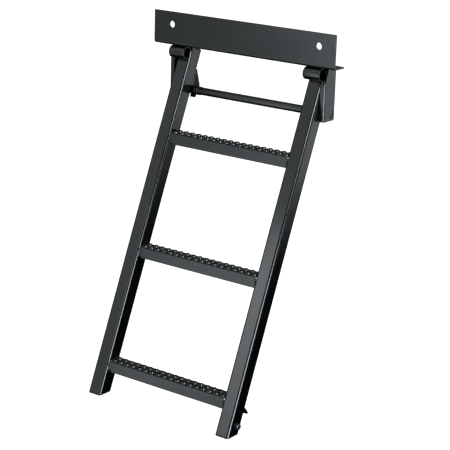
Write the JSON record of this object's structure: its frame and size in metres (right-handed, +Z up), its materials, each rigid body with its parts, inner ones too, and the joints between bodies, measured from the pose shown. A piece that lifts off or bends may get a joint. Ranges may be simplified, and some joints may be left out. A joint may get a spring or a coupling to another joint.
{
  "type": "tailgate step",
  "caption": "Fold-under steel tailgate ladder that hangs on a cross bar in a bolt-on bracket, swings up level and slides in, with a sprung stowing latch.",
  "frame": {"origin": "on the mounting plate's flat back face, midway between its two bolt holes", "axes": "+X to the right along the plate as seen from in front, +Y out of the plate's back face towards the vehicle, +Z up, parallel to the plate"},
  "size_m": [0.441, 0.31, 0.7492],
  "materials": {
    "plate_coat": "semi-gloss black powder coat",
    "ladder_coat": "semi-gloss black powder coat",
    "bar_coat": "glossy black coat",
    "cap_plastic": "moulded black",
    "collar_plastic": "moulded black",
    "pawl_steel": "black oxide",
    "bright_steel": "zinc plated"
  },
  "bodies": {
    "bracket": {"mount_plate": "plate_coat", "side_bracket_left": "plate_coat", "side_bracket_right": "plate_coat", "guide_barrel_left": "plate_coat", "guide_barrel_right": "plate_coat"},
    "pivot_bar": {"cross_bar": "bar_coat", "bar_collar_left": "collar_plastic", "bar_collar_right": "collar_plastic", "bar_spacer_left": "collar_plastic", "bar_spacer_right": "collar_plastic"},
    "ladder": {"rail_left": "ladder_coat", "rail_right": "ladder_coat", "rail_top_cap_left": "cap_plastic", "rail_top_cap_right": "cap_plastic", "foot_cap_left": "cap_plastic", "foot_cap_right": "cap_plastic", "hook_left": "ladder_coat", "hook_right": "ladder_coat", "tread_top": "ladder_coat", "tread_middle": "ladder_coat", "tread_bottom": "ladder_coat", "latch_bolt": "bright_steel", "latch_nut": "bright_steel", "latch_spring": "bright_steel"},
    "latch": {"latch_pawl": "pawl_steel"}
  },
  "joints": [
    {"name": "ladder_swing", "type": "hinge", "parent": "bracket", "child": "pivot_bar", "pos_m": [0, 0.03297, -0.13528], "axis": [-1, 0, 0], "range_deg": [0, 67.7]},
    {"name": "ladder_slide", "type": "slide", "parent": "pivot_bar", "child": "ladder", "axis": [0, 0.3795, 0.9252], "range_m": [0, 0.57]},
    {"name": "latch_pawl_turn", "type": "hinge", "parent": "ladder", "child": "latch", "pos_m": [0.1735, -0.22207, -0.70652], "axis": [1, 0, 0], "range_deg": [0, 31], "stiffness_Nm_per_rad": 0.06, "springref_deg": -17.19}
  ]
}
